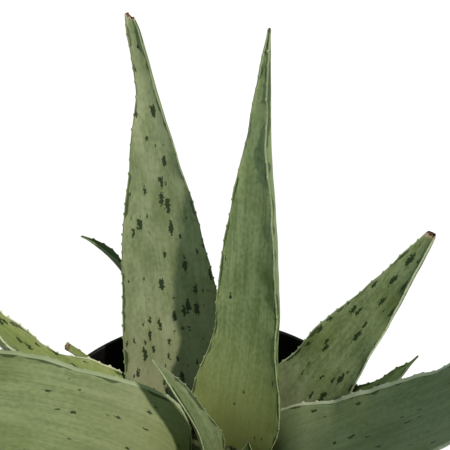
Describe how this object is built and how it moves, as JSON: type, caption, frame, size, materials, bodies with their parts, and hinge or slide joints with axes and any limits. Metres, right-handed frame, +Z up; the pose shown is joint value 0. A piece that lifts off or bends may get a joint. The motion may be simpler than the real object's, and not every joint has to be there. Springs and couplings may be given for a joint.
{
  "type": "potted snow drift aloe",
  "caption": "Potted aloe: a loose rosette of channelled, toothed, spotted leaves on a short stem in a tapered plastic pot of soil.",
  "frame": {"origin": "centre of the pot's flat underside, on the surface that it stands on", "axes": "+Z up along the pot's axis, +X to the picture's right, +Y away from the viewer"},
  "size_m": [0.3493, 0.2493, 0.3061],
  "materials": {
    "pot": "injection-moulded black plastic, satin",
    "soil": "loose potting mix of bark, fibre and grit",
    "stem": "short fleshy crown under dry leaf bases",
    "leaf": "waxy green succulent skin with dark flecks and a pale toothed margin"
  },
  "bodies": {
    "root": {"pot": "pot", "soil": "soil", "stem": "stem", "leaf_tall_left": "leaf", "leaf_tall_centre": "leaf", "leaf_right": "leaf", "leaf_low_right": "leaf", "leaf_broad_left": "leaf", "leaf_broad_right": "leaf", "leaf_back_left": "leaf", "leaf_hidden_left": "leaf", "leaf_stub": "leaf", "leaf_young": "leaf", "leaf_heart": "leaf", "leaf_front_left": "leaf", "leaf_front": "leaf", "leaf_front_right": "leaf"}
  },
  "joints": []
}
